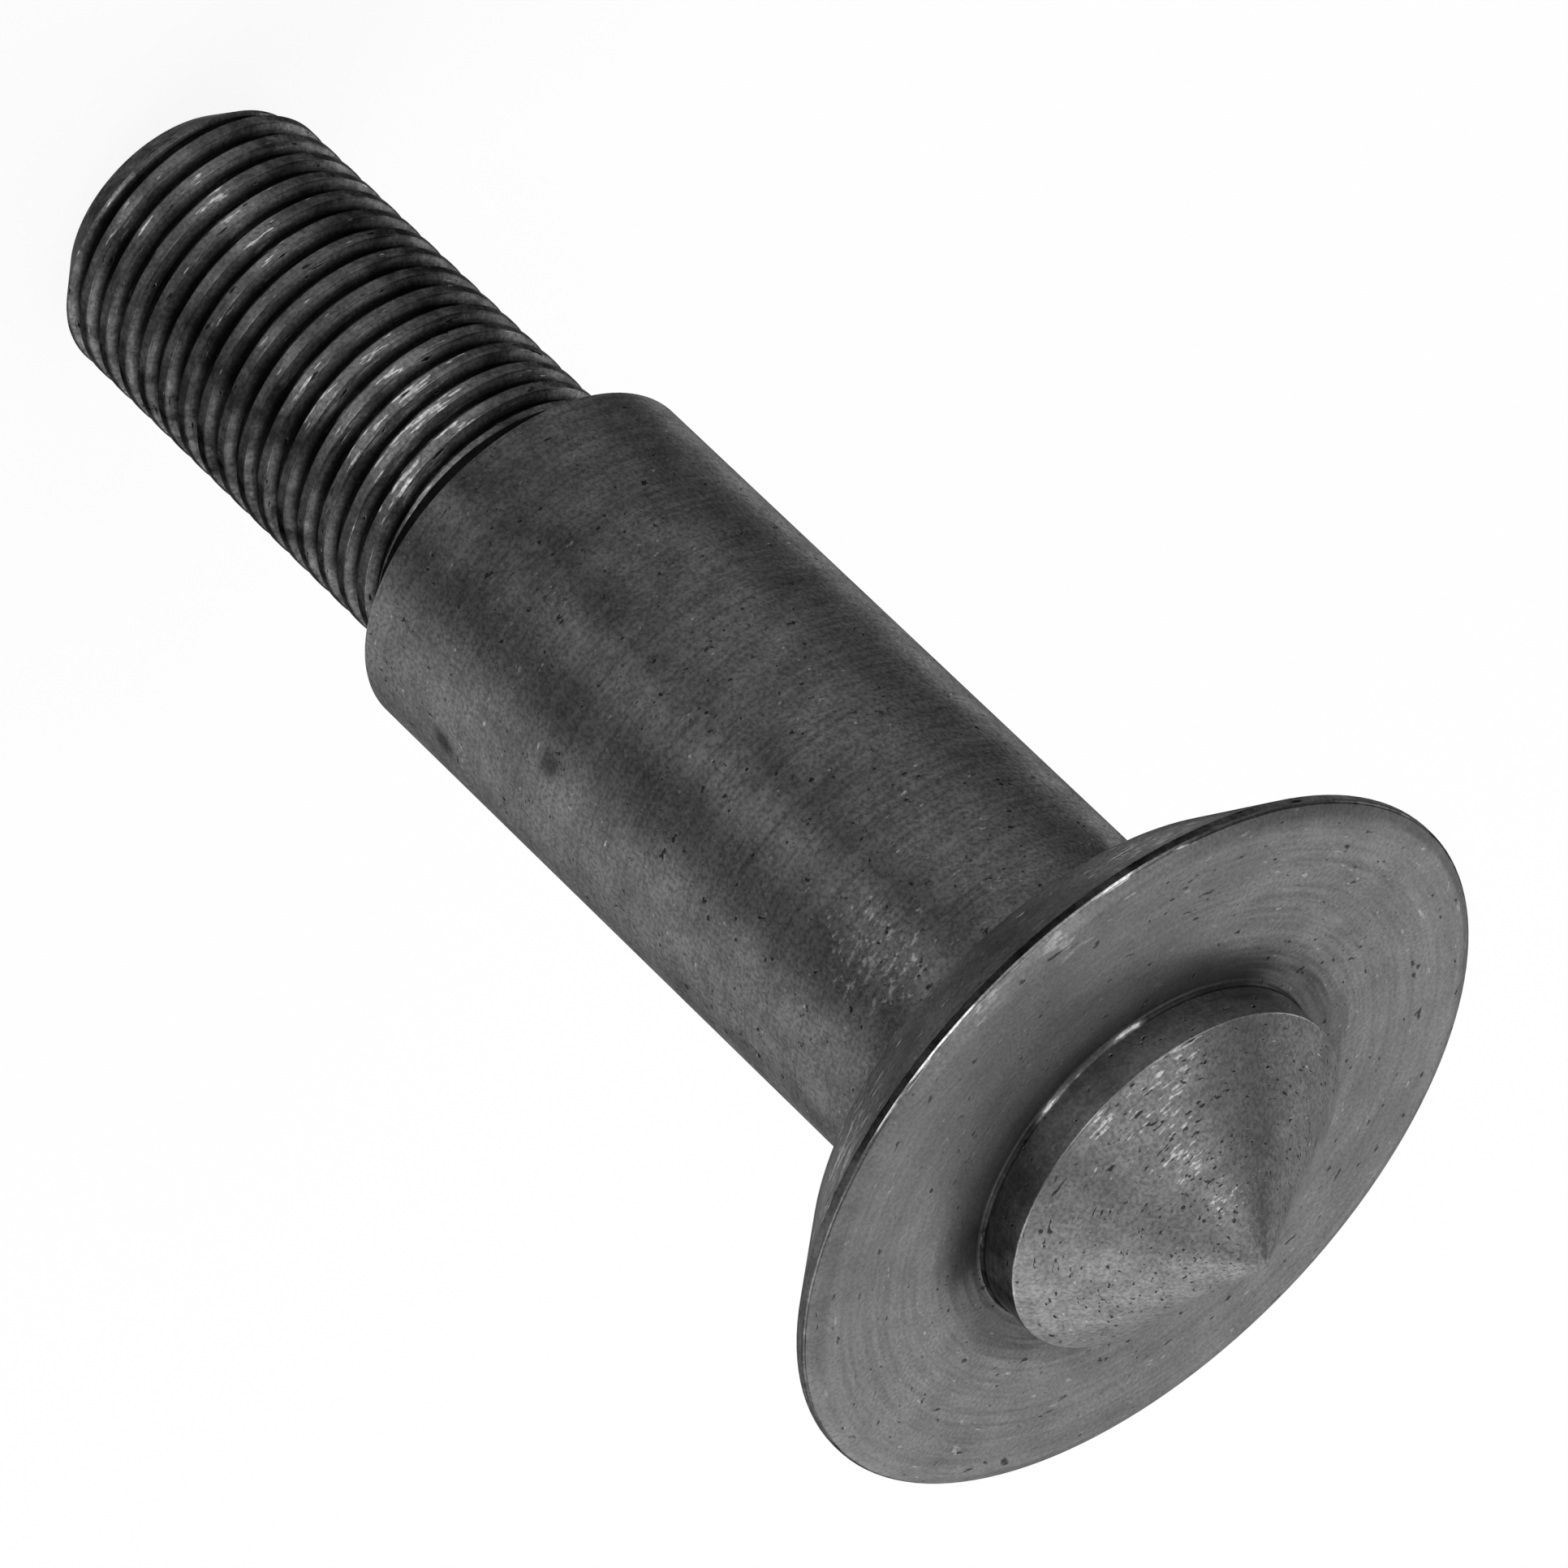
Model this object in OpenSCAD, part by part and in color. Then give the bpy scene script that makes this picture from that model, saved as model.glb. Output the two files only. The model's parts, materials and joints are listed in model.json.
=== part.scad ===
// Shock mount stud: one turned steel piece that stands on its threaded end, nose upwards.
// The nose and the front face of the flange are welded to a bracket, a damper's bush slides
// onto the shank against the back of the flange, and a nut on the thread holds it there.

/* [Thread] */
// Major diameter of the half-inch fine thread, as cut
thread_d = 12.5; // [11:0.1:14]
// Length of the threaded end, from the shoulder to the end face
thread_len = 23.2; // [15:0.1:40]
// Diameter of the flat end face inside the point chamfer
point_d = 9.8; // [7:0.1:10.8]
// Length of the point chamfer along the axis
point_len = 1.6; // [0.4:0.1:4]
// Corner radius where the thread meets the shoulder
shoulder_fillet = 0.4; // [0.1:0.05:0.7]

/* [Shank] */
// Diameter of the plain shank, five eighths of an inch
shank_d = 15.875; // [14.5:0.025:20]
// Length of the shank, from the shoulder to the back of the flange
shank_len = 33.4; // [20:0.1:60]
// Corner radius where the shank meets the flange
flange_fillet = 0.8; // [0.2:0.1:2]

/* [Flange] */
// Outside diameter of the flange, one and a quarter inches
flange_d = 31.75; // [28:0.05:40]
// Thickness of the flange, from its flat back to its front face
flange_t = 4.2; // [2.5:0.1:8]
// Width of the cone turned on the back edge, across the radius
back_bevel_w = 3.5; // [1:0.1:5]
// Length of the straight rim between the two bevels
rim_land = 0.4; // [0.2:0.05:1.5]
// Width of the shallow bevel on the front edge, across the radius
face_bevel_w = 0.65; // [0.3:0.05:2]
// Depth of the shallow bevel on the front edge, along the axis
face_bevel_h = 0.3; // [0.1:0.05:1.5]

/* [Nose] */
// Diameter of the nose that enters the bracket's hole
nose_d = 15.55; // [10:0.05:20]
// Height of the nose's straight side, from the front face to the cone
nose_h = 1.75; // [1:0.05:5]
// Corner radius where the nose meets the front face
nose_fillet = 0.3; // [0.1:0.05:0.5]
// Width of the edge break round the foot of the cone, on each side of the edge
nose_edge = 0.2; // [0.05:0.05:0.4]
// Included angle of the cone
cone_angle = 111; // [90:1:150]
// Diameter of the small flat left at the tip
tip_d = 0.4; // [0.2:0.1:2]

/* [Hidden] */

$fn = 128;
// How far the stock of a corner radius reaches into the solid behind it
lap = 0.2;

thread_r = thread_d / 2;
shank_r = shank_d / 2;
flange_r = flange_d / 2;
nose_r = nose_d / 2;
tip_r = tip_d / 2;
half_cone = cone_angle / 2;

// Heights along the axis, from the end face at zero
shoulder_z = thread_len;
back_z = shoulder_z + shank_len;
face_z = back_z + flange_t;
rim_top_z = face_z - face_bevel_h;
rim_low_z = rim_top_z - rim_land;
cone_z = face_z + nose_h;
tip_z = cone_z + (nose_r - tip_r) / tan(half_cone);

// The stock that a round-nosed cutter leaves in an inside corner at radius r and height z,
// above the face it stands on, or below it where way is -1
module inside_corner(r, z, fillet, way) {
    translate([r, z])
        mirror([0, way < 0 ? 1 : 0])
            difference() {
                translate([-lap, -lap])
                    square(fillet + lap);
                translate([fillet, fillet])
                    circle(fillet);
            }
}

// Half section with straight corners, read from the end face up to the tip
module plain_section() {
    polygon([
        [0, 0],
        [point_d / 2, 0],
        [thread_r, point_len],
        [thread_r, shoulder_z],
        [shank_r, shoulder_z],
        [shank_r, back_z],
        [flange_r - back_bevel_w, back_z],
        [flange_r, rim_low_z],
        [flange_r, rim_top_z],
        [flange_r - face_bevel_w, face_z],
        [nose_r, face_z],
        [nose_r, cone_z - nose_edge],
        [nose_r - nose_edge * sin(half_cone), cone_z + nose_edge * cos(half_cone)],
        [tip_r, tip_z],
        [0, tip_z]
    ]);
}

// Half section with its three inside corners rounded
module section() {
    plain_section();
    inside_corner(thread_r, shoulder_z, shoulder_fillet, -1);
    inside_corner(shank_r, back_z, flange_fillet, -1);
    inside_corner(nose_r, face_z, nose_fillet, 1);
}

// The whole stud, turned about its axis
module stud() {
    color([0.40, 0.40, 0.40])
        rotate_extrude()
            section();
}

stud();
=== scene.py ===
"""A shock mount stud of bare turned steel, standing on its threaded end in soft studio light.

The stud is one bar turned to four diameters: a half-inch fine thread, a plain shank, a flange
with a coned back and a short weld nose that ends in a cone. The frame gives the heights and
diameters that other parts fit, and the classes below hold the rest. Lengths are in metres
unless a name ends in _mm, and angles round the stud are read from the camera's side, with
positive angles towards +X.
"""

import json
import logging
import math
from dataclasses import dataclass, replace
from enum import IntEnum
from typing import Any

import bmesh
import bpy
from mathutils import Matrix, Vector


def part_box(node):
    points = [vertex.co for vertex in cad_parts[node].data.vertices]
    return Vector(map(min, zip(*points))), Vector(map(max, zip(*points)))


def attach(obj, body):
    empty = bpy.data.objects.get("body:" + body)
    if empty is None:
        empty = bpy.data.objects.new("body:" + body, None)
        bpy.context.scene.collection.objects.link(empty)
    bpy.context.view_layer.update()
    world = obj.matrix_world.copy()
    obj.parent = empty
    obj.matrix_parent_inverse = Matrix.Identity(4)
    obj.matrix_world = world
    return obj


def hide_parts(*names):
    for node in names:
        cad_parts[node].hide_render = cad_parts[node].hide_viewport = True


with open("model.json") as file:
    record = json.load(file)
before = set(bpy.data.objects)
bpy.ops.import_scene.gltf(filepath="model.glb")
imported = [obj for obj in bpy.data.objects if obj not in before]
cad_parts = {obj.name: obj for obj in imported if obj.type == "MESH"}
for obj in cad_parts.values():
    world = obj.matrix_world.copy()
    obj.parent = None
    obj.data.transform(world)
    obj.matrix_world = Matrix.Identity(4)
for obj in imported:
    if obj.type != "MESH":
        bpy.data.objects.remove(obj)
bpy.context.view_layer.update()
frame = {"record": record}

log = logging.getLogger("stud")

MM = 0.001
# Two points closer than this are one point of the mesh
WELD = 0.0005 * MM


class Zone(IntEnum):
    """The stud's surfaces by how they were cut, worn or soiled and where light or shade is painted; the value
    is the material slot.
    """

    POINT = 0
    THREAD = 1
    FLANK_WORN = 2
    FLANK_OILY = 3
    NECK = 4
    SHANK = 5
    FLANGE = 6
    RIM = 7
    RIM_EDGE = 8
    FACE = 9
    FOOT = 10
    NOSE = 11
    CONE = 12


def linear(hex_colour: str) -> tuple[float, float, float, float]:
    """Turn an sRGB hex colour into the linear colour that a shader takes.

    Args:
        hex_colour: Six hex digits with a leading hash sign.

    Returns:
        Red, green and blue in linear light, and an alpha of one.
    """
    shares = [int(hex_colour[i:i + 2], 16) / 255 for i in (1, 3, 5)]
    red, green, blue = (s / 12.92 if s <= 0.04045 else ((s + 0.055) / 1.055) ** 2.4 for s in shares)
    return red, green, blue, 1.0


def add_node(tree: bpy.types.NodeTree, kind: str, settings: dict[Any, Any] | None = None,
             links: dict[Any, bpy.types.NodeSocket] | None = None) -> bpy.types.Node:
    """Add one node with its settings and links.

    Args:
        tree: The tree that gets the node.
        kind: The node's type name, without the ShaderNode that they all start with.
        settings: Values by property name, or by input name or number.
        links: Sockets that feed the node, by input name or number.

    Returns:
        The new node.
    """
    node = tree.nodes.new("ShaderNode" + kind)
    for key, value in (settings or {}).items():
        if isinstance(key, str) and hasattr(node, key):
            setattr(node, key, value)
        else:
            node.inputs[key].default_value = value
    for key, source in (links or {}).items():
        tree.links.new(source, node.inputs[key])
    return node


def mount(name: str) -> dict[str, Any]:
    """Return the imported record's mount of that name."""
    return next(m for m in frame["record"]["mounts"] if m["name"] == name)


def mount_radius(name: str) -> float:
    """Return the radius of a pin mount, in metres."""
    return mount(name)["dims"]["r_mm"] * MM


def mount_height(name: str) -> float:
    """Return a mount's height above the end face, in metres."""
    return mount(name)["pos_m"][2]


def smooth_step(value: float, low: float, high: float) -> float:
    """Rise smoothly from 0 at low to 1 at high."""
    share = min(max((value - low) / (high - low), 0.0), 1.0)
    return share * share * (3 - 2 * share)


@dataclass(frozen=True)
class Spot:
    """A round or long place on the stud that has been rubbed bright or has got dirty, or that carries a
    painted highlight or painted shade.

    Attributes:
        angle_deg: Angle round the stud, from the camera's side.
        radius_mm: Distance from the axis.
        height_mm: Height above the end face.
        reach_mm: Distance at which the place has faded out.
        stretch: How many times further it reaches along the axis.
        strength: Strength in the middle, from 0 to 1.
    """

    angle_deg: float
    radius_mm: float
    height_mm: float
    reach_mm: float
    stretch: float = 1.0
    strength: float = 1.0

    # The share of the reach within which the place is at its full strength
    CORE = 0.25

    def mask(self, tree: bpy.types.NodeTree, mm: bpy.types.NodeSocket) -> bpy.types.NodeSocket:
        """Add nodes that give the strength in the middle of the spot and 0 outside it.

        Args:
            tree: The material's tree.
            mm: The position in millimetres.

        Returns:
            The spot's strength.
        """
        angle = math.radians(self.angle_deg)
        centre = (self.radius_mm * math.sin(angle), -self.radius_mm * math.cos(angle),
                  self.height_mm / self.stretch)
        squash = {"operation": "MULTIPLY", 1: (1, 1, 1 / self.stretch)}
        near = add_node(tree, "VectorMath", squash, {0: mm}).outputs[0]
        far = add_node(tree, "VectorMath", {"operation": "DISTANCE", 1: centre}, {0: near}).outputs["Value"]
        settings = {"From Min": self.reach_mm, "From Max": self.reach_mm * self.CORE, "To Max": self.strength}
        return add_node(tree, "MapRange", settings, {"Value": far}).outputs[0]


@dataclass(frozen=True)
class TurnedSteel:
    """Bare low-carbon steel as the lathe left it, with a film of old oil, and with painted highlights and
    painted shade where its spots and rings lie.

    Attributes:
        name: The material's name.
        clean: Colour of the bare metal.
        stained: Colour of the patches that handling and oil have darkened.
        pit: Colour of the grain and at the bottom of a torn pit.
        fleck: Colour of a burnished fleck, and of the painted sheen.
        stain_mm: Size of a stained patch.
        stain_share: How far the stain goes, from 0 to 1.
        grain_share: How far the dark grain goes, from 0 to 1.
        mark_mm: Spacing of the turning marks.
        mark_height_mm: Height of the turning marks.
        mark_share: How far the turning marks darken, from 0 to 1.
        pit_mm: Spacing of the pits across the turning marks.
        pits_round: How many pits follow each other in a radian.
        pit_cover: Share of the surface that the pits take.
        fleck_cover: Share of the surface that the flecks take.
        roughness: Mean roughness.
        roughness_swing: How far the marks move the roughness to each side.
        anisotropy: How much the marks draw a highlight out across themselves.
        edge: Colour of the reflection at a grazing angle.
        rubbed_and_highlighted: Rubbed places with thicker flecks and pits and a painted highlight.
        painted_sheen: How far the painted highlight brightens such a place, from 0 to 1.
        soiled_and_shaded: Places darkened with real dirt on some finishes and painted shade on others.
        dirt_and_shade: Colour of the dirt and of the painted shade.
        shade_ring_mm: Distances from the axis between which the painted shade of a groove or corner fades
            out.
        shade_ring_share: How far that painted shade goes, from 0 to 1.
    """

    name: str
    clean: str
    stained: str
    pit: str
    fleck: str
    stain_mm: float
    stain_share: float
    grain_share: float
    mark_mm: float
    mark_height_mm: float
    mark_share: float
    pit_mm: float
    pits_round: float
    pit_cover: float
    fleck_cover: float
    roughness: float
    roughness_swing: float
    anisotropy: float
    edge: str = "#9a9a9a"
    rubbed_and_highlighted: tuple[Spot, ...] = ()
    painted_sheen: float = 0.1
    soiled_and_shaded: tuple[Spot, ...] = ()
    dirt_and_shade: str = "#101010"
    shade_ring_mm: tuple[float, float] | None = None
    shade_ring_share: float = 1.0

    # Length of a turning mark round the stud, as marks in a radian
    MARKS_ROUND = 2.5
    # The grain of the metal is about 0.02 mm, drawn eight times coarser so that it shows
    GRAIN_MM = 0.16
    # Depth of the grain and of the pits as bumps
    GRAIN_DEPTH_MM = 0.006
    PIT_DEPTH_MM = 0.014
    # How much the noises rise in a rubbed place, so that more of them passes for flecks and pits, partly as
    # painted highlight
    FLECK_LIFT = 0.14
    PIT_LIFT = 0.015
    # Noise level that next to nothing passes, how far it falls for the whole surface, and its soft edge
    TAIL_LEVEL = 0.7
    TAIL_FALL = 0.9
    TAIL_EDGE = 0.05
    # A fleck's size beside a pit's
    FLECK_SIZE = 0.8
    # Noise levels between which stains and grain, and turning marks, fade in
    PATCH_LEVELS = (0.38, 0.66)
    MARK_LEVELS = (0.4, 0.65)
    # How thick dirt and painted shade lie between patches and in them, and groove shade between streaks and
    # in them
    PATCHY_DIRT_AND_SHADE = (0.5, 0.85)
    STREAKY_SHADE = (0.8, 1.0)
    # A quarter of a turn lays the highlight across the marks
    ACROSS_MARKS = 0.25

    def build(self) -> bpy.types.Material:
        """Make the material.

        Returns:
            A metal whose patterns follow the turning about the Z axis.
        """
        material = bpy.data.materials.new(self.name)
        material.use_nodes = True
        tree = material.node_tree
        tree.nodes.clear()
        place = add_node(tree, "TexCoord").outputs["Object"]
        mm = add_node(tree, "VectorMath", {"operation": "SCALE", "Scale": 1 / MM}, {0: place}).outputs[0]
        lathe, radius = self._lathe_axes(tree, mm)

        marks = self._lathe_noise(tree, lathe, radius, self.MARKS_ROUND, self.mark_mm)
        pits = self._lathe_noise(tree, lathe, radius, self.pits_round, self.pit_mm)
        flecks = self._lathe_noise(tree, lathe, radius, self.pits_round * self.FLECK_SIZE,
                                   self.pit_mm * self.FLECK_SIZE)
        stain = add_node(tree, "TexNoise", {"Scale": 1 / self.stain_mm, "Detail": 5.0, "Roughness": 0.62},
                         {"Vector": mm}).outputs[0]
        grain = add_node(tree, "TexNoise", {"Scale": 1 / self.GRAIN_MM, "Detail": 2.0, "Roughness": 0.6},
                         {"Vector": mm}).outputs[0]
        stain_mask = self._ramp(tree, stain, *self.PATCH_LEVELS, 0.0, self.stain_share)
        grain_mask = self._ramp(tree, grain, *self.PATCH_LEVELS, 0.0, self.grain_share)
        mark_mask = self._ramp(tree, marks, *self.MARK_LEVELS, 0.0, self.mark_share)
        colour = self._blend(tree, linear(self.clean), linear(self.stained), stain_mask)
        # Rubbed places get more flecks and pits, and a sheen of the fleck colour as a painted highlight
        for spot in self.rubbed_and_highlighted:
            near = spot.mask(tree, mm)
            flecks = add_node(tree, "Math", {"operation": "MULTIPLY_ADD", 1: self.FLECK_LIFT},
                              {0: near, 2: flecks}).outputs[0]
            pits = add_node(tree, "Math", {"operation": "MULTIPLY_ADD", 1: self.PIT_LIFT},
                            {0: near, 2: pits}).outputs[0]
            painted_sheen = self._ramp(tree, near, 0.0, 1.0, 0.0, self.painted_sheen)
            colour = self._blend(tree, colour, linear(self.fleck), painted_sheen)
        pit_mask = self._ramp(tree, pits, *self._tail(self.pit_cover), 0.0, 1.0)
        fleck_mask = self._ramp(tree, flecks, *self._tail(self.fleck_cover), 0.0, 1.0)
        colour = self._blend(tree, colour, linear(self.fleck), fleck_mask)
        colour = self._blend(tree, colour, linear(self.pit), mark_mask)
        colour = self._blend(tree, colour, linear(self.pit), grain_mask)
        colour = self._blend(tree, colour, linear(self.pit), pit_mask)
        # Dirt, and the painted shade of grooves, corners and shaded bands, darkens the colour
        for dirt_and_shade in self._dirt_and_shade_masks(tree, mm, radius, stain, marks):
            colour = self._blend(tree, colour, linear(self.dirt_and_shade), dirt_and_shade)
        rough = self._ramp(tree, marks, *self.MARK_LEVELS, self.roughness - self.roughness_swing,
                           self.roughness + self.roughness_swing)

        bump = None
        reliefs = ((marks, self.mark_height_mm, False), (grain, self.GRAIN_DEPTH_MM, True),
                   (pit_mask, self.PIT_DEPTH_MM, True))
        for height, depth_mm, sunk in reliefs:
            links = {"Height": height, "Normal": bump} if bump else {"Height": height}
            bump = add_node(tree, "Bump", {"Distance": depth_mm * MM, "invert": sunk}, links).outputs[0]
        tangent = add_node(tree, "Tangent", {"direction_type": "RADIAL", "axis": "Z"}).outputs[0]
        metal = add_node(tree, "BsdfPrincipled",
                         {"Metallic": 1.0, "Anisotropic": self.anisotropy,
                          "Anisotropic Rotation": self.ACROSS_MARKS, "Specular Tint": linear(self.edge)},
                         {"Base Color": colour, "Roughness": rough, "Normal": bump, "Tangent": tangent})
        add_node(tree, "OutputMaterial", None, {"Surface": metal.outputs[0]})
        return material

    def _dirt_and_shade_masks(self, tree: bpy.types.NodeTree, mm: bpy.types.NodeSocket, radius: bpy.types.NodeSocket,
              stain: bpy.types.NodeSocket, marks: bpy.types.NodeSocket) -> list[bpy.types.NodeSocket]:
        """Add the masks of the dirty places and places of painted shade, and of the painted shade in a groove
        or corner.

        Args:
            tree: The material's tree.
            mm: The position in millimetres.
            radius: The distance from the axis.
            stain: The noise that breaks up those places.
            marks: The noise that breaks up the painted shade of a groove or corner.

        Returns:
            One mask for each layer, dirt and painted shade alike.
        """
        patchy = self._ramp(tree, stain, *self.PATCH_LEVELS, *self.PATCHY_DIRT_AND_SHADE)
        pairs = [(spot.mask(tree, mm), patchy) for spot in self.soiled_and_shaded]
        if self.shade_ring_mm:
            low, high = self.shade_ring_mm
            streaky = self._ramp(tree, marks, *self.MARK_LEVELS, *self.STREAKY_SHADE)
            pairs.append((self._ramp(tree, radius, high, low, 0.0, self.shade_ring_share), streaky))
        return [add_node(tree, "Math", {"operation": "MULTIPLY"}, {0: place, 1: broken}).outputs[0]
                for place, broken in pairs]

    @staticmethod
    def _lathe_axes(tree: bpy.types.NodeTree,
                    mm: bpy.types.NodeSocket) -> tuple[bpy.types.NodeSocket, bpy.types.NodeSocket]:
        """Give the position as a lathe sees it.

        Args:
            tree: The material's tree.
            mm: The position in millimetres.

        Returns:
            The direction from the axis with the height as its Z, and the radius.
        """
        flat = add_node(tree, "VectorMath", {"operation": "MULTIPLY", 1: (1, 1, 0)}, {0: mm}).outputs[0]
        radius = add_node(tree, "VectorMath", {"operation": "LENGTH"}, {0: flat}).outputs["Value"]
        around = add_node(tree, "VectorMath", {"operation": "NORMALIZE"}, {0: flat}).outputs[0]
        high = add_node(tree, "VectorMath", {"operation": "MULTIPLY", 1: (0, 0, 1)}, {0: mm}).outputs[0]
        lathe = add_node(tree, "VectorMath", {"operation": "ADD"}, {0: around, 1: high}).outputs[0]
        return lathe, radius

    @staticmethod
    def _lathe_noise(tree: bpy.types.NodeTree, lathe: bpy.types.NodeSocket, radius: bpy.types.NodeSocket,
                     per_radian: float, width_mm: float) -> bpy.types.NodeSocket:
        """Add noise that is drawn out round the stud.

        Args:
            tree: The material's tree.
            lathe: The direction from the axis with the height as its Z.
            radius: The distance from the axis.
            per_radian: How many features follow each other in a radian.
            width_mm: The features' spacing across the turning.

        Returns:
            The noise, from 0 to 1.
        """
        scale = (per_radian, per_radian, 1 / width_mm)
        vector = add_node(tree, "VectorMath", {"operation": "MULTIPLY", 1: scale}, {0: lathe}).outputs[0]
        depth = add_node(tree, "Math", {"operation": "MULTIPLY", 1: 1 / width_mm}, {0: radius}).outputs[0]
        noise = add_node(tree, "TexNoise",
                         {"noise_dimensions": "4D", "Scale": 1.0, "Detail": 2.0, "Roughness": 0.5},
                         {"Vector": vector, "W": depth})
        return noise.outputs[0]

    @classmethod
    def _tail(cls, cover: float) -> tuple[float, float]:
        """Return the noise levels between which the top share of a noise fades in."""
        level = cls.TAIL_LEVEL - cls.TAIL_FALL * cover
        return level, level + cls.TAIL_EDGE

    @staticmethod
    def _ramp(tree: bpy.types.NodeTree, value: bpy.types.NodeSocket, low: float, high: float,
              start: float, end: float) -> bpy.types.NodeSocket:
        """Map a value from low..high to start..end, held at both ends."""
        settings = {"From Min": low, "From Max": high, "To Min": start, "To Max": end}
        return add_node(tree, "MapRange", settings, {"Value": value}).outputs[0]

    @staticmethod
    def _blend(tree: bpy.types.NodeTree, under: Any, over: tuple[float, ...],
               share: bpy.types.NodeSocket) -> bpy.types.NodeSocket:
        """Lay one colour over another, or over the colour of a socket, by a share."""
        settings: dict[Any, Any] = {"data_type": "RGBA", 7: over}
        links = {0: share}
        if isinstance(under, bpy.types.NodeSocket):
            links[6] = under
        else:
            settings[6] = under
        return add_node(tree, "Mix", settings, links).outputs[2]


# Ground or fine-turned bar, handled and oiled: dark specks, a soft darker band low down, and a painted
# highlight near the flange
SHANK_STEEL = TurnedSteel(
    name="steel_fine_turned_oiled", clean="#767676", stained="#5c5c5c", pit="#2e2e2e", fleck="#a2a2a2",
    stain_mm=2.0, stain_share=0.8, grain_share=0.55, mark_mm=0.16, mark_height_mm=0.0012, mark_share=0.1,
    pit_mm=0.26, pits_round=24.0, pit_cover=0.04, fleck_cover=0.02, roughness=0.55, roughness_swing=0.05,
    anisotropy=0.95, rubbed_and_highlighted=(Spot(12, 7.94, 51.5, 2.8, 1.5),),
    soiled_and_shaded=(Spot(39, 7.94, 34.2, 0.8), Spot(65, 7.94, 28.2, 0.8), Spot(-15, 7.94, 24.0, 6.5, 2.0, 0.5)))
# The back of the flange: a darker copy of the shank's finish, with painted light at both sides of the back
# cone and painted shade between
FLANGE_STEEL = replace(
    SHANK_STEEL, name="steel_turned_back_painted_light_and_shade", clean="#5c5c5c", stained="#464646", painted_sheen=0.3,
    rubbed_and_highlighted=(Spot(-37, 14.7, 59.0, 4.0), Spot(31, 14.7, 59.0, 4.5)),
    soiled_and_shaded=(Spot(-5, 14.7, 59.0, 5.0, 1.0, 0.4),))
# Faced across on the lathe: paler and more even, painted shade round the nose, scuffs and a painted highlight
# by the rim
FACE_STEEL = TurnedSteel(
    name="steel_faced_satin", clean="#868686", stained="#6a6a6a", pit="#4c4c4c", fleck="#a4a4a4",
    dirt_and_shade="#2c2c2c", stain_mm=2.0, stain_share=0.5, grain_share=0.4, mark_mm=0.22, mark_height_mm=0.001,
    mark_share=0.1, pit_mm=0.3, pits_round=24.0, pit_cover=0.04, fleck_cover=0.03, roughness=0.5,
    roughness_swing=0.05, anisotropy=0.3, shade_ring_mm=(8.8, 10.1), shade_ring_share=0.6,
    rubbed_and_highlighted=(Spot(-13, 15.4, 60.7, 1.4), Spot(0, 15.4, 60.7, 1.1)),
    soiled_and_shaded=(Spot(58, 8.0, 60.8, 2.4, 1.0, 0.9), Spot(-62, 8.0, 60.8, 1.8, 1.0, 0.6)))
# The corner at the foot of the nose: dark as painted shade, black at its +X side, with a thin painted
# highlight where it is rubbed
FOOT_STEEL = TurnedSteel(
    name="steel_turned_corner", clean="#484848", stained="#303030", pit="#202020", fleck="#f4f4f4",
    dirt_and_shade="#040404", stain_mm=1.0, stain_share=0.8, grain_share=0.4, mark_mm=0.2, mark_height_mm=0.001,
    mark_share=0.1, pit_mm=0.3, pits_round=8.0, pit_cover=0.04, fleck_cover=0.0, roughness=0.5,
    roughness_swing=0.05, anisotropy=0.2, painted_sheen=0.35, soiled_and_shaded=(Spot(60, 7.8, 61.0, 6.0),),
    rubbed_and_highlighted=(Spot(8, 7.8, 61.0, 1.0), Spot(-20, 7.8, 61.0, 1.0), Spot(-5, 7.8, 61.0, 3.0, 1.0, 0.3)))
# Turned across a short land: smoother than the shank, so it mirrors the face below it; painted shade darkens
# its +X side
NOSE_STEEL = TurnedSteel(
    name="steel_turned_nose", clean="#a0a0a0", stained="#787878", pit="#303030", fleck="#b0b0b0",
    dirt_and_shade="#1c1c1c", stain_mm=1.6, stain_share=0.7, grain_share=0.4, mark_mm=0.16, mark_height_mm=0.001,
    mark_share=0.1, pit_mm=0.3, pits_round=20.0, pit_cover=0.03, fleck_cover=0.02, roughness=0.42,
    roughness_swing=0.04, anisotropy=0.2,
    soiled_and_shaded=(Spot(38, 7.8, 61.6, 3.0, 1.0, 0.8), Spot(64, 7.8, 61.6, 4.5)))
# Turned with a worn tool: torn pits and burnished flecks that follow the cut, crowded with a faint painted
# highlight near the base
CONE_STEEL = TurnedSteel(
    name="steel_rough_turned_pitted", clean="#979797", stained="#747474", pit="#404040", fleck="#dcdcdc",
    stain_mm=1.2, stain_share=0.6, grain_share=0.5, mark_mm=0.3, mark_height_mm=0.0012, mark_share=0.12,
    pit_mm=0.17, pits_round=13.0, pit_cover=0.08, fleck_cover=0.0, roughness=0.52, roughness_swing=0.03,
    anisotropy=0.3, painted_sheen=0.08,
    rubbed_and_highlighted=(Spot(-14, 6.7, 63.3, 2.4), Spot(-11, 4.6, 64.7, 1.6), Spot(-13, 2.6, 66.1, 1.2),
            Spot(-27, 7.6, 62.8, 1.6), Spot(5, 7.6, 62.8, 1.4)))
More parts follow.
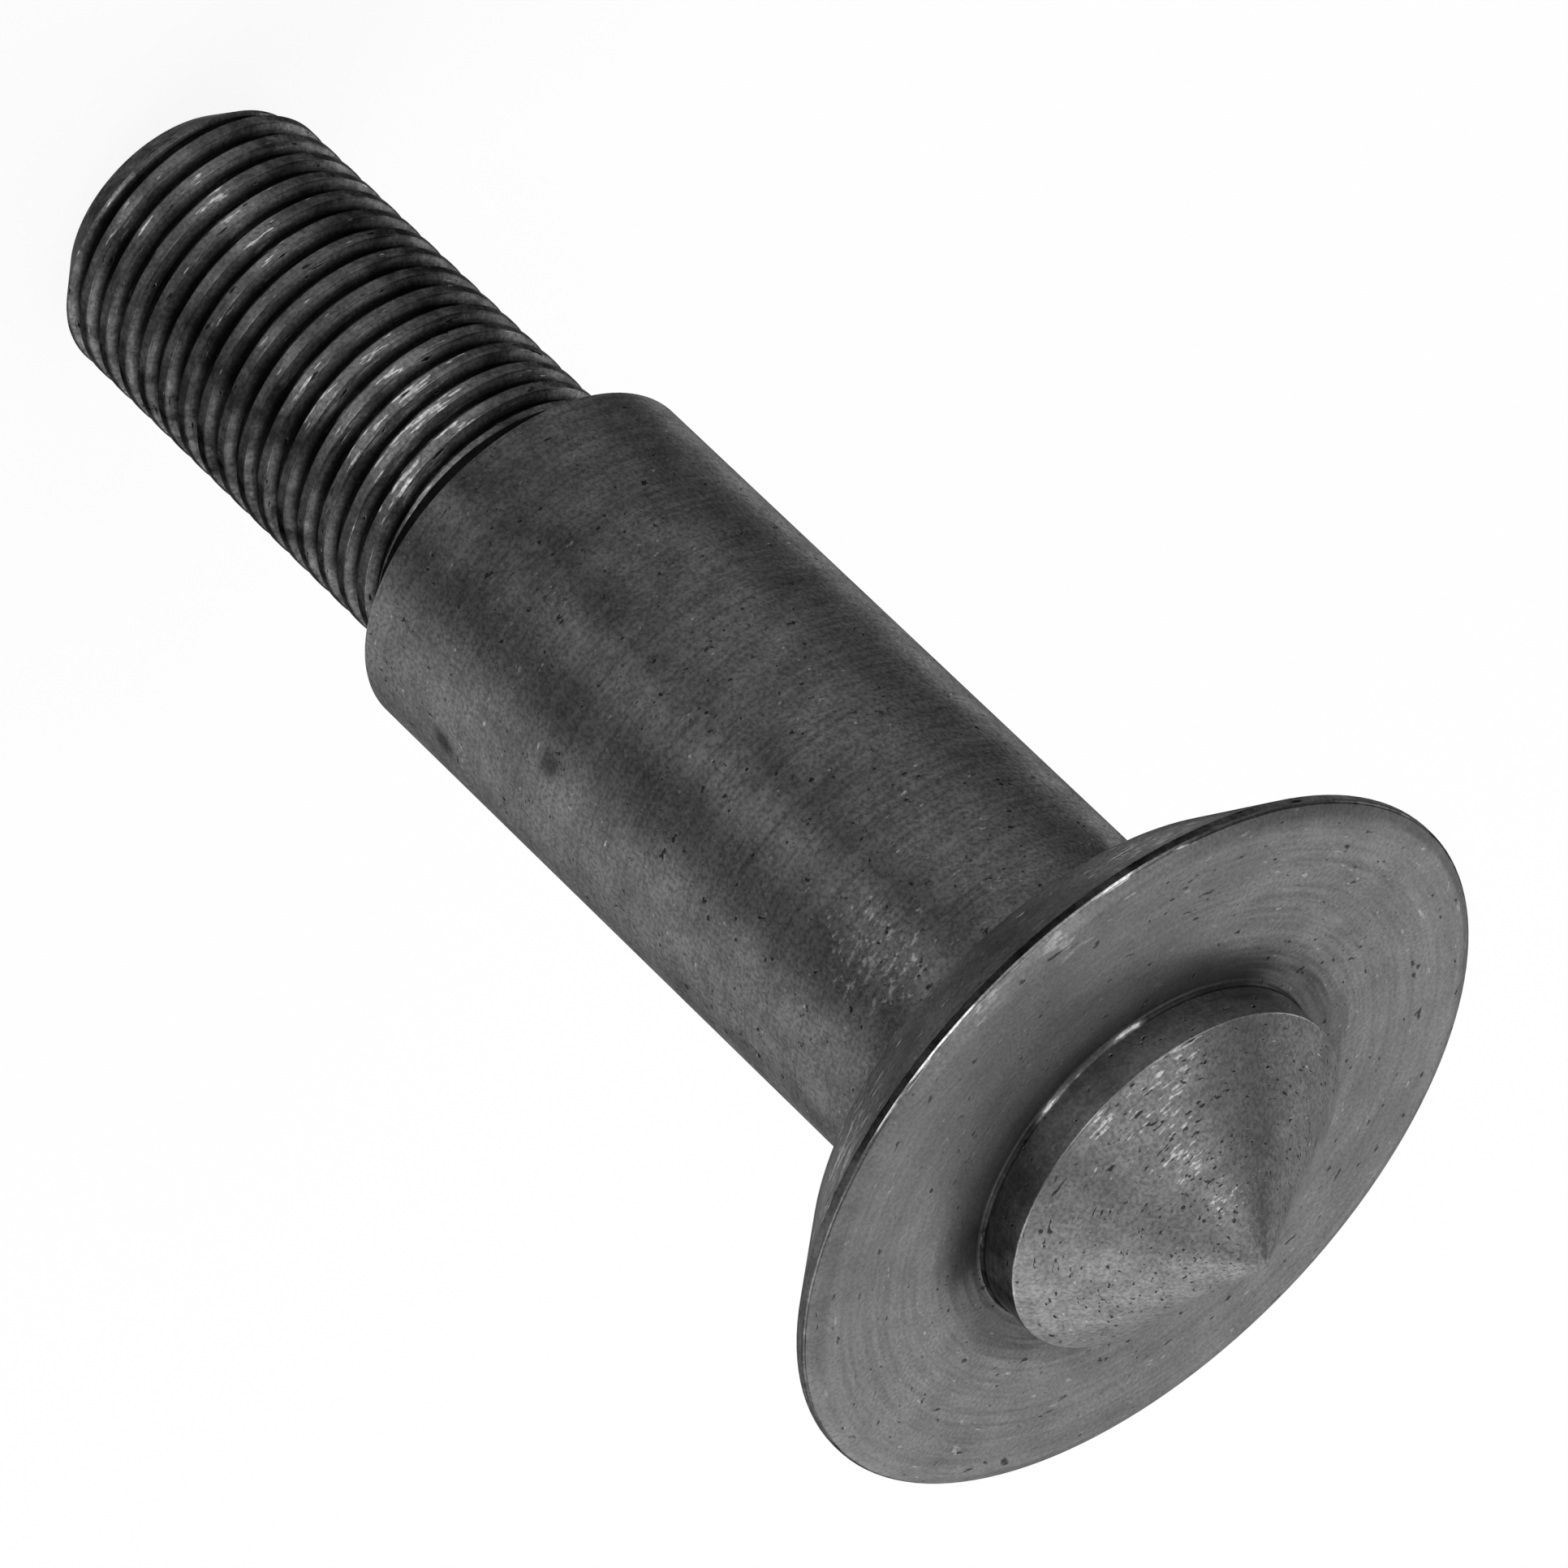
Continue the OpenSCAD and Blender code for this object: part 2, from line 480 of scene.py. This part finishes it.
# Cut thread: grey ridges with painted highlights, and painted shade in the roots, in long bands and under the
# shoulder
THREAD_STEEL = TurnedSteel(
    name="steel_cut_thread_painted_shade_and_highlight", clean="#686868", stained="#464646", pit="#202020", fleck="#d8d8d8",
    stain_mm=1.0, stain_share=0.8, grain_share=0.5, mark_mm=0.14, mark_height_mm=0.0016, mark_share=0.2,
    pit_mm=0.2, pits_round=7.0, pit_cover=0.03, fleck_cover=0.01, roughness=0.43, roughness_swing=0.08,
    anisotropy=0.3, edge="#8a8a8a", painted_sheen=0.16, shade_ring_mm=(5.74, 5.98),
    rubbed_and_highlighted=(Spot(-15, 6.25, 6.0, 1.7, 3.0), Spot(-15, 6.25, 18.5, 2.8, 2.0), Spot(10, 6.25, 3.0, 1.2),
            Spot(10, 6.25, 16.0, 1.6, 4.0), Spot(9, 6.25, 21.2, 2.4)),
    soiled_and_shaded=(Spot(-47, 6.25, 11.0, 2.4, 6.0, 0.8), Spot(27, 6.25, 11.0, 2.2, 7.0, 0.8),
            Spot(68, 6.25, 11.0, 4.8, 4.0), Spot(-72, 6.25, 11.0, 2.4, 6.0, 0.5),
            Spot(-32, 6.25, 21.8, 2.2, 1.0, 0.9)))
# The flanks that look up get a paler copy of the thread's steel as painted light
UP_FLANK_PAINTED_LIGHT_STEEL = replace(THREAD_STEEL, name="steel_cut_flank_up_painted_light", clean="#989898", stained="#6c6c6c",
                           shade_ring_mm=(5.82, 6.04))
# The flanks that look down to the end face get a darker copy, with more painted shade towards the root
DOWN_FLANK_PAINTED_SHADE_STEEL = replace(THREAD_STEEL, name="steel_cut_flank_down_painted_shade", clean="#484848", stained="#303030",
                           shade_ring_mm=(5.8, 6.2))
# The chamfer at the point of the thread: the same steel, a little paler, without the thread's spots and
# painted groove shade
POINT_STEEL = replace(THREAD_STEEL, name="steel_cut_point", clean="#747474", rubbed_and_highlighted=(), soiled_and_shaded=(),
                      shade_ring_mm=None)
# The neck under the shoulder: painted near black as the shade under the shoulder
NECK_STEEL = TurnedSteel(
    name="steel_neck_painted_shade", clean="#181818", stained="#0c0c0c", pit="#060606", fleck="#303030",
    stain_mm=1.0, stain_share=0.8, grain_share=0.4, mark_mm=0.2, mark_height_mm=0.001, mark_share=0.1,
    pit_mm=0.3, pits_round=12.0, pit_cover=0.04, fleck_cover=0.02, roughness=0.5, roughness_swing=0.06,
    anisotropy=0.2)
# The narrow rim: dull grey, painted black as shade along the camera's side
RIM_STEEL = TurnedSteel(
    name="steel_turned_rim_painted_shade", clean="#707070", stained="#505050", pit="#202020", fleck="#8c8c8c",
    dirt_and_shade="#040404", stain_mm=1.4, stain_share=0.8, grain_share=0.4, mark_mm=0.2, mark_height_mm=0.0006,
    mark_share=0.1, pit_mm=0.4, pits_round=12.0, pit_cover=0.05, fleck_cover=0.02, roughness=0.6,
    roughness_swing=0.05, anisotropy=0.2,
    soiled_and_shaded=(Spot(-38, 15.87, 60.2, 6.0), Spot(-22, 15.87, 60.2, 7.0), Spot(-8, 15.87, 60.2, 7.0),
            Spot(6, 15.87, 60.2, 7.0), Spot(20, 15.87, 60.2, 6.0)))
# The rim's front edge: burnished so that it catches the lamps, with a painted highlight line on the camera's
# side
EDGE_STEEL = TurnedSteel(
    name="steel_burnished_edge_painted_highlight", clean="#606060", stained="#404040", pit="#202020", fleck="#fafafa",
    stain_mm=1.0, stain_share=0.9, grain_share=0.4, mark_mm=0.2, mark_height_mm=0.0006, mark_share=0.1,
    pit_mm=0.4, pits_round=8.0, pit_cover=0.05, fleck_cover=0.01, roughness=0.4, roughness_swing=0.05,
    anisotropy=0.2, painted_sheen=0.25,
    rubbed_and_highlighted=(Spot(-20, 15.85, 60.5, 4.5), Spot(-2, 15.85, 60.5, 5.0), Spot(15, 15.85, 60.5, 4.5)))


@dataclass
class Thread:
    """The threaded end: a right-hand thread that runs out at the shoulder, and a point chamfer.

    Attributes:
        crest_r: Radius over the crests.
        top: Height at which the thread's skin meets the plain body.
        pitch: Distance from one groove to the next as the photograph shows it, about 20 to the inch.
        groove_z: Height of a groove's middle on the camera's side.
        depth_share: Depth of a groove, in pitches.
        crest_share: Width of a crest, in pitches.
        root_share: Width of a groove's flat bottom, in pitches.
        crest_corner: Size of the rounding of the crests.
        root_corner: Size of the rounding of the roots.
        runout: Heights between which the grooves fade out.
        neck_z: Height above which the neck is painted black as shade.
        point_r: Radius of the flat end.
        point_len: Length of the point chamfer.
        steps: Steps of the helix in one turn.
    """

    crest_r: float
    top: float
    pitch: float = 1.287 * MM
    groove_z: float = 1.82 * MM
    depth_share: float = 0.47
    crest_share: float = 0.38
    root_share: float = 0.07
    crest_corner: float = 0.07 * MM
    root_corner: float = 0.03 * MM
    runout: tuple[float, float] = (20.6 * MM, 24.2 * MM)
    neck_z: float = 21.72 * MM
    point_r: float = 4.9 * MM
    point_len: float = 1.6 * MM
    steps: int = 144

    # A groove never gets narrower than this share of its width, so that no face collapses
    LEAST_WIDTH = 0.12
    # Turns that reach past each end and are trimmed off
    SPARE_TURNS = 2
    # A vertex this many pitches from a groove's middle, or less, belongs to that groove alone
    GROOVE_REACH = 0.499
    # Flat steps in the rounding of a crest or a root
    ROUND_STEPS = 4

    def build(self, bm: bmesh.types.BMesh) -> None:
        """Sweep one groove up the helix, shape its run-out and point, cut the neck and trim both ends.

        Args:
            bm: The empty mesh that the thread goes into.
        """
        turns = math.ceil(self.top / self.pitch) + 2 * self.SPARE_TURNS
        start = self.groove_z - math.ceil(self.groove_z / self.pitch + self.SPARE_TURNS) * self.pitch
        profile = self._groove(bm, start)
        bmesh.ops.spin(bm, geom=profile, cent=(0, 0, 0), axis=(0, 0, 1),
                       dvec=(0, 0, self.pitch / self.steps), angle=2 * math.pi,
                       steps=self.steps, use_merge=False, use_duplicate=False)
        one_turn = bm.verts[:] + bm.edges[:] + bm.faces[:]
        for turn in range(1, turns):
            copy = bmesh.ops.duplicate(bm, geom=one_turn)["geom"]
            moved = [part for part in copy if isinstance(part, bmesh.types.BMVert)]
            bmesh.ops.translate(bm, verts=moved, vec=(0, 0, turn * self.pitch))
        bmesh.ops.remove_doubles(bm, verts=bm.verts, dist=WELD)
        for vert in bm.verts:
            self._shape(vert)
        for height, side, trimmed in ((0.0, -1, True), (self.neck_z, 1, False), (self.top, 1, True)):
            bmesh.ops.bisect_plane(bm, geom=bm.verts[:] + bm.edges[:] + bm.faces[:], dist=WELD,
                                   plane_co=(0, 0, height), plane_no=(0, 0, side), clear_outer=trimmed)
        for vert in bm.verts:
            vert.co.z = max(vert.co.z, 0.0)
        end = [e for e in bm.edges if e.is_boundary and e.verts[0].co.z < self.pitch]
        bmesh.ops.holes_fill(bm, edges=end, sides=0)

    def _groove(self, bm: bmesh.types.BMesh, middle: float) -> list[Any]:
        """Draw one groove from crest to crest on the camera's side.

        Args:
            bm: The mesh that gets the outline.
            middle: Height of the groove's middle.

        Returns:
            The outline's vertices and edges.
        """
        half_crest = 0.5 - self.crest_share / 2
        half_root = self.root_share / 2
        corners = ((-0.5, 0), (-half_crest, 0), (-half_root, 1), (half_root, 1), (half_crest, 0), (0.5, 0))
        verts = []
        for along, deep in corners:
            radius = self.crest_r - deep * self.depth_share * self.pitch
            verts.append(bm.verts.new((0, -radius, middle + along * self.pitch)))
        for low, high in zip(verts, verts[1:]):
            bm.edges.new((low, high))
        roundings = (self.crest_corner, self.root_corner, self.root_corner, self.crest_corner)
        for vert, rounding in zip(verts[1:-1], roundings):
            bmesh.ops.bevel(bm, geom=[vert], offset=rounding, offset_type="OFFSET",
                            segments=self.ROUND_STEPS, profile=0.5, affect="VERTICES", material=-1)
        flanks = [e for e in bm.edges if e.calc_length() > 2 * self.crest_corner]
        bmesh.ops.subdivide_edges(bm, edges=flanks, cuts=1)
        return bm.verts[:] + bm.edges[:]

    def _shape(self, vert: bmesh.types.BMVert) -> None:
        """Move a vertex for the run-out and the point chamfer."""
        x, y, z = vert.co
        radius = math.hypot(x, y)
        turned = math.atan2(x, -y) / (2 * math.pi)
        place = (z - self.groove_z) / self.pitch - turned
        offset = place - round(place)
        middle = z - offset * self.pitch
        fade = 1 - smooth_step(middle, *self.runout)
        if abs(offset) < self.GROOVE_REACH:
            z = middle + offset * self.pitch * max(fade, self.LEAST_WIDTH)
            radius = self.crest_r - (self.crest_r - radius) * fade
        scale = min(radius, self.chamfer(z)) / math.hypot(x, y)
        vert.co = (x * scale, y * scale, z)

    def chamfer(self, height: float) -> float:
        """Return the radius of the point chamfer's cone at a height."""
        return self.point_r + (self.crest_r - self.point_r) * height / self.point_len


@dataclass
class TurnedBody:
    """Everything above the thread, turned as one section: shank, flange, nose and cone.

    Attributes:
        thread_r: Radius of the thread's crests, where the section starts.
        start: Height at which the section starts.
        shoulder_z: Height of the shoulder that a washer sits against.
        shank_r: Radius of the shank.
        back_z: Height of the flange's flat back.
        flange_r: Radius of the flange.
        face_z: Height of the flange's front face.
        nose_r: Radius of the nose.
        tip_z: Height of the tip.
        back_bevel: Width of the cone turned on the back of the flange.
        rim_land: Length of the straight rim.
        face_bevel: Width and depth of the bevel on the front edge.
        nose_h: Height of the nose's straight side.
        tip_r: Radius of the small flat at the tip.
        shoulder_round: Rounding of the shoulder's foot and of its edge.
        flange_round: Rounding of the flange's foot, its back edge, its rim and its front face.
        nose_round: Rounding of the nose's foot and of its edge, and of the tip.
        steps: Steps of the turning.
    """

    thread_r: float
    start: float
    shoulder_z: float
    shank_r: float
    back_z: float
    flange_r: float
    face_z: float
    nose_r: float
    tip_z: float
    back_bevel: float = 3.5 * MM
    rim_land: float = 0.4 * MM
    face_bevel: tuple[float, float] = (0.65 * MM, 0.3 * MM)
    nose_h: float = 1.85 * MM
    tip_r: float = 0.2 * MM
    shoulder_round: tuple[float, float] = (0.4 * MM, 0.06 * MM)
    flange_round: tuple[float, float, float, float] = (0.8 * MM, 0.25 * MM, 0.1 * MM, 0.25 * MM)
    nose_round: tuple[float, float, float] = (0.25 * MM, 0.06 * MM, 0.18 * MM)
    steps: int = 144

    # Flat steps in the rounding of a corner
    ROUND_STEPS = 5

    def build(self, bm: bmesh.types.BMesh) -> None:
        """Turn the section about the axis.

        Args:
            bm: The mesh that gets the body.
        """
        before = set(bm.verts)
        rim_top = self.face_z - self.face_bevel[1]
        # Radius and height of each corner, with the size of its rounding
        corners = (
            (self.thread_r, self.start, 0.0),
            (self.thread_r, self.shoulder_z, self.shoulder_round[0]),
            (self.shank_r, self.shoulder_z, self.shoulder_round[1]),
            (self.shank_r, self.back_z, self.flange_round[0]),
            (self.flange_r - self.back_bevel, self.back_z, self.flange_round[1]),
            (self.flange_r, rim_top - self.rim_land, self.flange_round[2]),
            (self.flange_r, rim_top, self.flange_round[2]),
            (self.flange_r - self.face_bevel[0], self.face_z, self.flange_round[3]),
            (self.nose_r, self.face_z, self.nose_round[0]),
            (self.nose_r, self.face_z + self.nose_h, self.nose_round[1]),
            (self.tip_r, self.tip_z, self.nose_round[2]),
            (0.0, self.tip_z, 0.0),
        )
        verts = [bm.verts.new((0, -radius, height)) for radius, height, _ in corners]
        for low, high in zip(verts, verts[1:]):
            bm.edges.new((low, high))
        for vert, (_, _, rounding) in zip(verts, corners):
            if rounding:
                bmesh.ops.bevel(bm, geom=[vert], offset=rounding, offset_type="OFFSET",
                                segments=self.ROUND_STEPS, profile=0.5, affect="VERTICES", material=-1)
        outline = [v for v in bm.verts if v not in before]
        edges = {e for v in outline for e in v.link_edges}
        bmesh.ops.spin(bm, geom=outline + list(edges), cent=(0, 0, 0), axis=(0, 0, 1), dvec=(0, 0, 0),
                       angle=2 * math.pi, steps=self.steps, use_merge=True, use_duplicate=False)
        made = [v for v in bm.verts if v not in before]
        bmesh.ops.remove_doubles(bm, verts=made, dist=WELD)


class Stud:
    """The whole stud: its sizes from the frame, its mesh and its finishes."""

    NAME = "stud_turned"
    NODE = "stud"
    SLOT = "turned_steel"
    FINISHES = {
        Zone.POINT: POINT_STEEL, Zone.THREAD: THREAD_STEEL, Zone.FLANK_WORN: UP_FLANK_PAINTED_LIGHT_STEEL,
        Zone.FLANK_OILY: DOWN_FLANK_PAINTED_SHADE_STEEL, Zone.NECK: NECK_STEEL, Zone.SHANK: SHANK_STEEL,
        Zone.FLANGE: FLANGE_STEEL, Zone.RIM: RIM_STEEL, Zone.RIM_EDGE: EDGE_STEEL, Zone.FACE: FACE_STEEL,
        Zone.FOOT: FOOT_STEEL, Zone.NOSE: NOSE_STEEL, Zone.CONE: CONE_STEEL,
    }
    # How far under the shoulder the turned body starts, and the gap that is bridged to the thread below it
    SEAM_DROP = 0.5 * MM
    SEAM_GAP = 0.05 * MM
    # How near a face's middle lies to the surface that it belongs to
    NEAR = 0.05 * MM
    # Heights above the face between which the corner at the nose's foot lies
    FOOT_HEIGHTS = (0.05 * MM, 0.3 * MM)
    # A face of the thread is a flank where its normal leans up or down by more than this
    FLANK_LEAN = 0.78

    def __init__(self) -> None:
        """Read the sizes that the frame gives."""
        low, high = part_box(self.NODE)
        shoulder = mount_height("washer_shoulder")
        seam = shoulder - self.SEAM_DROP
        self.thread = Thread(crest_r=mount_radius("thread"), top=seam - self.SEAM_GAP)
        self.body = TurnedBody(
            thread_r=mount_radius("thread"), start=seam, shoulder_z=shoulder,
            shank_r=mount_radius("shank"), back_z=mount_height("bush_seat"),
            flange_r=min(high.x, -low.x) - WELD, face_z=mount_height("flange_face"),
            nose_r=mount_radius("weld_nose"), tip_z=high.z)

    def build(self) -> bpy.types.Object:
        """Make the stud's object.

        Returns:
            A closed mesh at the origin, with its finishes, riding on the root body.
        """
        bm = bmesh.new()
        self.thread.build(bm)
        self.body.build(bm)
        seam = [e for e in bm.edges if e.is_boundary]
        bmesh.ops.bridge_loops(bm, edges=seam)
        bmesh.ops.recalc_face_normals(bm, faces=bm.faces)
        self._sort_faces(bm)
        loose = sum(not e.is_manifold for e in bm.edges)
        mesh = bpy.data.meshes.new(self.NAME)
        bm.to_mesh(mesh)
        bm.free()
        stud = bpy.data.objects.new(self.NAME, mesh)
        bpy.context.scene.collection.objects.link(stud)
        self._dress(stud)
        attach(stud, "root")
        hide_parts(self.NODE)
        log.info("%s: %d faces, %d open edges", stud.name, len(mesh.polygons), loose)
        return stud

    def _sort_faces(self, bm: bmesh.types.BMesh) -> None:
        """Give each face the slot of the zone that it lies in."""
        for face in bm.faces:
            face.smooth = True
            middle = face.calc_center_median()
            zone = self._zone(math.hypot(middle.x, middle.y), middle.z)
            # Faces that lean up take the paler copy as painted light, faces that lean down the darker copy as
            # painted shade
            if zone == Zone.THREAD and abs(face.normal.z) > self.FLANK_LEAN:
                zone = Zone.FLANK_WORN if face.normal.z > 0 else Zone.FLANK_OILY
            face.material_index = zone

    def _zone(self, radius: float, height: float) -> Zone:
        """Tell which zone a place on the stud belongs to.

        Args:
            radius: Distance from the axis.
            height: Height above the end face.

        Returns:
            The zone.
        """
        body = self.body
        rim_top = body.face_z - body.face_bevel[1]
        if height < self.thread.point_len and abs(radius - self.thread.chamfer(height)) < self.NEAR / 2:
            return Zone.POINT
        # Each zone's greatest height and radius, from the end face up
        reaches = (
            (Zone.THREAD, self.thread.neck_z, body.thread_r),
            (Zone.NECK, body.shoulder_z - self.NEAR, body.thread_r + body.shoulder_round[0]),
            (Zone.SHANK, body.back_z - self.NEAR, body.shank_r),
            (Zone.FLANGE, rim_top - body.rim_land, body.flange_r),
            (Zone.RIM, rim_top - 2 * self.NEAR, body.flange_r),
            (Zone.RIM_EDGE, rim_top + self.NEAR, body.flange_r),
            (Zone.FACE, body.face_z + self.FOOT_HEIGHTS[0], body.flange_r),
            (Zone.FOOT, body.face_z + self.FOOT_HEIGHTS[1], body.flange_r),
            (Zone.NOSE, body.face_z + body.nose_h, body.flange_r),
        )
        for zone, top, reach in reaches:
            if height < top and radius < reach + self.NEAR:
                return zone
        return Zone.CONE

    def _dress(self, stud: bpy.types.Object) -> None:
        """Give the stud its finishes and true normals on its flat faces."""
        for zone in Zone:
            stud.data.materials.append(self.FINISHES[zone].build())
        normals = stud.modifiers.new("flat_faces", "WEIGHTED_NORMAL")
        normals.mode = "FACE_AREA"
        normals.weight = 100


@dataclass(frozen=True)
class PhotoView:
    """The photograph's camera, found by fitting the stud's outline.

    Attributes:
        image_px: Width and height of the photograph.
        focal_px: Focal length in pixels.
        rim_px: Where the middle of the flange's front edge lies.
        rim_depth: Distance to that point along the line of sight.
        tilt_deg: Angle between the line of sight and the stud's axis.
        roll_deg: Angle by which the stud leans to the lower right of the picture.
    """

    image_px: float = 1932.0
    focal_px: float = 17599.8
    rim_px: tuple[float, float] = (1404.68, 1412.53)
    rim_depth: float = 529.24 * MM
    tilt_deg: float = 58.49
    roll_deg: float = 43.76

    SENSOR_MM = 36.0

    def place(self, rim: Vector) -> bpy.types.Object:
        """Put the camera where the photograph's was.

        Args:
            rim: Middle of the flange's front edge.

        Returns:
            The scene's camera.
        """
        tilt, roll = math.radians(self.tilt_deg), math.radians(self.roll_deg)
        ahead = Vector((0, math.sin(tilt), -math.cos(tilt)))
        level = Vector((1, 0, 0))
        upright = level.cross(ahead)
        right = upright * math.cos(roll) - level * math.sin(roll)
        up = -level * math.cos(roll) - upright * math.sin(roll)
        metres = self.rim_depth / self.focal_px
        across, down = ((p - self.image_px / 2) * metres for p in self.rim_px)
        data = bpy.data.cameras.new("photo_camera")
        data.sensor_width = self.SENSOR_MM
        data.lens = self.focal_px / self.image_px * self.SENSOR_MM
        data.clip_start = 0.05
        data.clip_end = 20.0
        camera = bpy.data.objects.new("photo_camera", data)
        turn = Matrix((right, up, -ahead)).transposed().to_4x4()
        spot = rim - right * across + up * down - ahead * self.rim_depth
        camera.matrix_world = Matrix.Translation(spot) @ turn
        bpy.context.scene.collection.objects.link(camera)
        bpy.context.scene.camera = camera
        return camera


@dataclass(frozen=True)
class Softbox:
    """A flat lamp that faces the stud.

    Attributes:
        name: The lamp's name.
        azimuth_deg: Direction from the stud, from the camera's side towards +X.
        elevation_deg: Direction from the stud, above the floor.
        width: Width of the lamp.
        height: Height of the lamp.
        radiance: Brightness of the lamp's face, where 1 is white.
        distance: Distance from the stud.
    """

    name: str
    azimuth_deg: float
    elevation_deg: float
    width: float
    height: float
    radiance: float
    distance: float = 0.6

    def place(self, aim: Vector) -> bpy.types.Object:
        """Hang the lamp.

        Args:
            aim: The point that the lamp faces.

        Returns:
            The lamp.
        """
        azimuth, elevation = math.radians(self.azimuth_deg), math.radians(self.elevation_deg)
        away = Vector((math.sin(azimuth) * math.cos(elevation), -math.cos(azimuth) * math.cos(elevation),
                       math.sin(elevation)))
        data = bpy.data.lights.new(self.name, "AREA")
        data.shape = "RECTANGLE"
        data.size = self.width
        data.size_y = self.height
        data.energy = self.radiance * math.pi * self.width * self.height
        lamp = bpy.data.objects.new(self.name, data)
        lamp.location = aim + away * self.distance
        lamp.rotation_euler = away.to_track_quat("Z", "Y").to_euler()
        bpy.context.scene.collection.objects.link(lamp)
        return lamp


class Studio:
    """A white floor, soft lamps round the stud and an even grey room."""

    FLOOR_WIDTH = 6.0
    # The floor lies a hair under the stud's end face, so that the two never share a plane
    FLOOR_DROP = 0.02 * MM
    FLOOR_COLOUR = "#f6f6f6"
    ROOM_COLOUR = "#1c1c1c"
    # How much of the floor's own shade, and so of the shadow, is left in the white that the camera sees
    SHADE_SHARE = 0.1
    LAMPS = (
        Softbox("overhead", azimuth_deg=0, elevation_deg=90, width=0.26, height=0.26, radiance=2.3),
        Softbox("rear_ceiling", azimuth_deg=-170, elevation_deg=68, width=0.44, height=0.21, radiance=1.9),
        Softbox("left_ceiling", azimuth_deg=-90, elevation_deg=65, width=0.24, height=0.22, radiance=1.0),
        Softbox("right_key", azimuth_deg=90, elevation_deg=24, width=0.58, height=0.21, radiance=6.1),
        Softbox("right_low", azimuth_deg=135, elevation_deg=7, width=0.62, height=0.15, radiance=2.3),
        Softbox("right_rear", azimuth_deg=135, elevation_deg=24, width=0.29, height=0.21, radiance=1.4),
        Softbox("right_high", azimuth_deg=112, elevation_deg=50, width=0.33, height=0.28, radiance=0.9),
        Softbox("back_panel", azimuth_deg=178, elevation_deg=24, width=0.58, height=0.21, radiance=3.4),
        Softbox("left_strip", azimuth_deg=-130, elevation_deg=7, width=0.21, height=0.15, radiance=9.0),
        Softbox("left_fill", azimuth_deg=-50, elevation_deg=22, width=0.62, height=0.26, radiance=2.0),
        Softbox("front_strip", azimuth_deg=12, elevation_deg=18, width=0.24, height=0.28, radiance=3.4),
        Softbox("front_fill", azimuth_deg=-22, elevation_deg=46, width=0.33, height=0.25, radiance=0.7),
    )

    def build(self, aim: Vector) -> None:
        """Lay the floor, hang the lamps and light the room.

        Args:
            aim: The point that the lamps face.
        """
        scene = bpy.context.scene
        scene.view_settings.view_transform = "Standard"
        self._floor()
        for lamp in self.LAMPS:
            lamp.place(aim)
            log.info("lamp %s", lamp.name)
        world = bpy.data.worlds.new("grey_room")
        world.use_nodes = True
        world.node_tree.nodes["Background"].inputs["Color"].default_value = linear(self.ROOM_COLOUR)
        scene.world = world

    def _floor(self) -> None:
        """Lay a plain white sheet under the stud."""
        bm = bmesh.new()
        bmesh.ops.create_grid(bm, x_segments=1, y_segments=1, size=self.FLOOR_WIDTH / 2,
                              matrix=Matrix.Translation((0, 0, -self.FLOOR_DROP)))
        mesh = bpy.data.meshes.new("floor")
        bm.to_mesh(mesh)
        bm.free()
        floor = bpy.data.objects.new("floor", mesh)
        bpy.context.scene.collection.objects.link(floor)
        mesh.materials.append(self._paper())

    def _paper(self) -> bpy.types.Material:
        """Make the floor's matt white paper.

        Returns:
            A paper that the camera and the steel see as white with a faint shadow, while it
            throws back the lamps' light on the stud as a plain white sheet does.
        """
        material = bpy.data.materials.new("paper_matt_white")
        material.use_nodes = True
        tree = material.node_tree
        tree.nodes.clear()
        sheet = add_node(tree, "BsdfDiffuse", {"Color": linear(self.FLOOR_COLOUR)}).outputs[0]
        white = add_node(tree, "Emission", {"Strength": 1.0}).outputs[0]
        path = add_node(tree, "LightPath").outputs
        seen = path["Is Camera Ray"]
        for ray in ("Is Glossy Ray", "Is Transmission Ray"):
            either = {"operation": "ADD", "use_clamp": True}
            seen = add_node(tree, "Math", either, {0: seen, 1: path[ray]}).outputs[0]
        lit = {"operation": "MULTIPLY", 1: 1 - self.SHADE_SHARE}
        share = add_node(tree, "Math", lit, {0: seen}).outputs[0]
        paper = add_node(tree, "MixShader", None, {0: share, 1: sheet, 2: white}).outputs[0]
        add_node(tree, "OutputMaterial", None, {"Surface": paper})
        return material


def main() -> None:
    """Build the stud, the camera and the studio, in that order."""
    logging.basicConfig(level=logging.INFO, format="%(message)s")
    stud = Stud()
    stud.build()
    rim_height = stud.body.face_z - stud.body.face_bevel[1]
    PhotoView().place(Vector((0, 0, rim_height)))
    Studio().build(Vector((0, 0, stud.body.tip_z / 2)))


if __name__ == "__main__":
    main()
